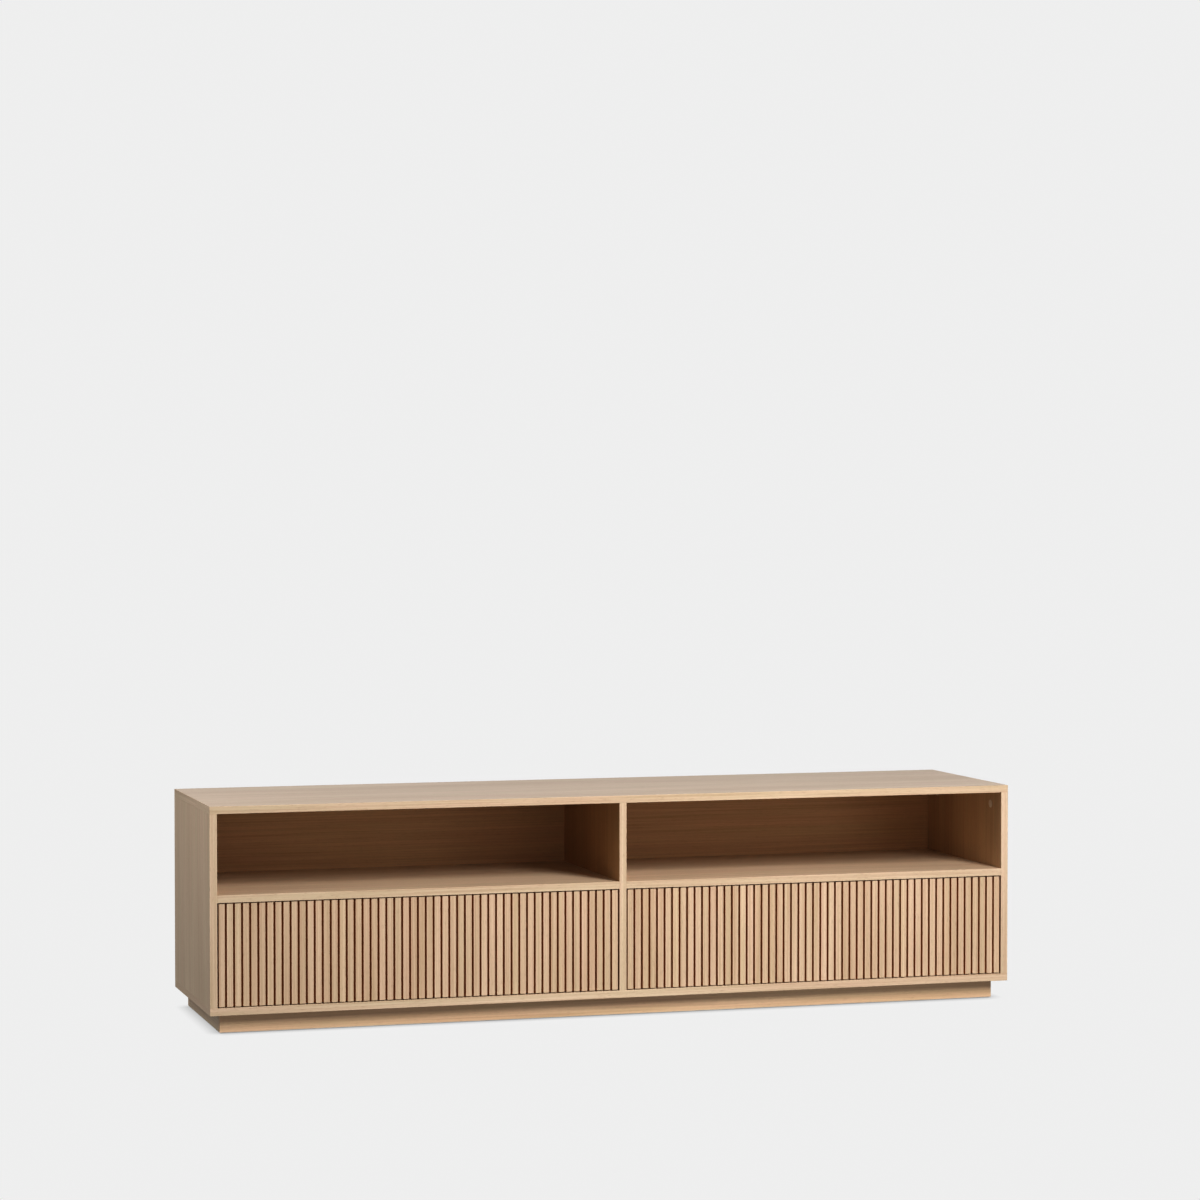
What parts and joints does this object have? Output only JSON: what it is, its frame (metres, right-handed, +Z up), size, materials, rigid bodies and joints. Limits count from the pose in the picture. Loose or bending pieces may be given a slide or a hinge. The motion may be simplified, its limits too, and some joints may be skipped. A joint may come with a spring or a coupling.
{
  "type": "media cabinet",
  "caption": "Long low oak media cabinet with open bays above slatted push-to-open drawers on ball-bearing runners, on a set-back plinth.",
  "frame": {"origin": "on the floor, under the middle of the cabinet", "axes": "+X along the cabinet to the right as seen from the front, the front faces -Y, +Z up"},
  "size_m": [1.8, 0.44, 0.48],
  "materials": {
    "oak_veneer": "satin lacquered oak veneer on board",
    "oak_lipping": "satin lacquered solid oak edging",
    "oak_slats": "satin lacquered solid oak battens",
    "oak_backing": "dark stained board",
    "oak_plinth": "satin lacquered oak veneer on board",
    "birch_ply": "lacquered birch plywood",
    "softwood": "sawn and planed pine",
    "beech": "plain beech",
    "zinc_fitting": "die-cast zinc",
    "zinc_steel": "zinc plated steel",
    "ball_steel": "polished steel balls in zinc plated cages",
    "spring_steel": "drawn spring wire",
    "cap_plastic": "oak-coloured self-adhesive plastic",
    "latch_plastic": "moulded grey acetal",
    "glide_plastic": "moulded brown polyethylene"
  },
  "bodies": {
    "carcass": {"bottom_panel": "oak_veneer", "cam_bolts": "zinc_steel", "cam_cover_caps": "cap_plastic", "cam_locks": "zinc_fitting", "centre_divider": "oak_veneer", "dowels": "beech", "edge_lipping": "oak_lipping", "floor_glides": "glide_plastic", "latch_screws": "zinc_steel", "left_back_panel": "oak_veneer", "left_cabinet_runners": "zinc_steel", "left_latch_housing": "latch_plastic", "left_latch_spring": "spring_steel", "left_shelf": "oak_veneer", "left_side_panel": "oak_veneer", "plinth_back_rail": "oak_plinth", "plinth_corner_blocks": "softwood", "plinth_cross_rails": "softwood", "plinth_front_rail": "oak_plinth", "plinth_left_rail": "oak_plinth", "plinth_right_rail": "oak_plinth", "plinth_screws": "zinc_steel", "right_back_panel": "oak_veneer", "right_cabinet_runners": "zinc_steel", "right_latch_housing": "latch_plastic", "right_latch_spring": "spring_steel", "right_shelf": "oak_veneer", "right_side_panel": "oak_veneer", "runner_screws": "zinc_steel", "top_panel": "oak_veneer"},
    "left_drawer": {"left_box_back": "birch_ply", "left_box_bottom": "birch_ply", "left_box_front": "birch_ply", "left_box_left_side": "birch_ply", "left_box_right_side": "birch_ply", "left_drawer_dowels": "beech", "left_drawer_runners": "zinc_steel", "left_drawer_screws": "zinc_steel", "left_front_board": "oak_backing", "left_front_slats": "oak_slats", "left_latch_strike": "zinc_steel"},
    "left_middle_runners": {"left_middle_runners": "zinc_steel"},
    "left_outer_ball_cages": {"left_outer_ball_cages": "ball_steel"},
    "left_inner_ball_cages": {"left_inner_ball_cages": "ball_steel"},
    "left_latch_plunger": {"left_latch_plunger": "latch_plastic"},
    "right_drawer": {"right_box_back": "birch_ply", "right_box_bottom": "birch_ply", "right_box_front": "birch_ply", "right_box_left_side": "birch_ply", "right_box_right_side": "birch_ply", "right_drawer_dowels": "beech", "right_drawer_runners": "zinc_steel", "right_drawer_screws": "zinc_steel", "right_front_board": "oak_backing", "right_front_slats": "oak_slats", "right_latch_strike": "zinc_steel"},
    "right_middle_runners": {"right_middle_runners": "zinc_steel"},
    "right_outer_ball_cages": {"right_outer_ball_cages": "ball_steel"},
    "right_inner_ball_cages": {"right_inner_ball_cages": "ball_steel"},
    "right_latch_plunger": {"right_latch_plunger": "latch_plastic"}
  },
  "joints": [
    {"name": "left_drawer_slide", "type": "slide", "parent": "carcass", "child": "left_drawer", "axis": [0, -1, 0], "range_m": [-0.003, 0.35]},
    {"name": "left_middle_runners_slide", "type": "slide", "parent": "carcass", "child": "left_middle_runners", "axis": [0, -1, 0], "range_m": [-0.0015, 0.175]},
    {"name": "left_outer_ball_cages_slide", "type": "slide", "parent": "carcass", "child": "left_outer_ball_cages", "axis": [0, -1, 0], "range_m": [-0.00075, 0.0875]},
    {"name": "left_inner_ball_cages_slide", "type": "slide", "parent": "carcass", "child": "left_inner_ball_cages", "axis": [0, -1, 0], "range_m": [-0.00225, 0.2625]},
    {"name": "left_latch_press", "type": "slide", "parent": "carcass", "child": "left_latch_plunger", "axis": [0, 1, 0], "range_m": [0, 0.004], "stiffness_N_per_m": 400, "springref_m": -0.004, "deforming": ["left_latch_spring"]},
    {"name": "right_drawer_slide", "type": "slide", "parent": "carcass", "child": "right_drawer", "axis": [0, -1, 0], "range_m": [-0.003, 0.35]},
    {"name": "right_middle_runners_slide", "type": "slide", "parent": "carcass", "child": "right_middle_runners", "axis": [0, -1, 0], "range_m": [-0.0015, 0.175]},
    {"name": "right_outer_ball_cages_slide", "type": "slide", "parent": "carcass", "child": "right_outer_ball_cages", "axis": [0, -1, 0], "range_m": [-0.00075, 0.0875]},
    {"name": "right_inner_ball_cages_slide", "type": "slide", "parent": "carcass", "child": "right_inner_ball_cages", "axis": [0, -1, 0], "range_m": [-0.00225, 0.2625]},
    {"name": "right_latch_press", "type": "slide", "parent": "carcass", "child": "right_latch_plunger", "axis": [0, 1, 0], "range_m": [0, 0.004], "stiffness_N_per_m": 400, "springref_m": -0.004, "deforming": ["right_latch_spring"]}
  ],
  "couplings": [
    {"joint": "left_middle_runners_slide", "follows": "left_drawer_slide", "ratio": 0.5},
    {"joint": "left_outer_ball_cages_slide", "follows": "left_drawer_slide", "ratio": 0.25},
    {"joint": "left_inner_ball_cages_slide", "follows": "left_drawer_slide", "ratio": 0.75},
    {"joint": "right_middle_runners_slide", "follows": "right_drawer_slide", "ratio": 0.5},
    {"joint": "right_outer_ball_cages_slide", "follows": "right_drawer_slide", "ratio": 0.25},
    {"joint": "right_inner_ball_cages_slide", "follows": "right_drawer_slide", "ratio": 0.75}
  ]
}
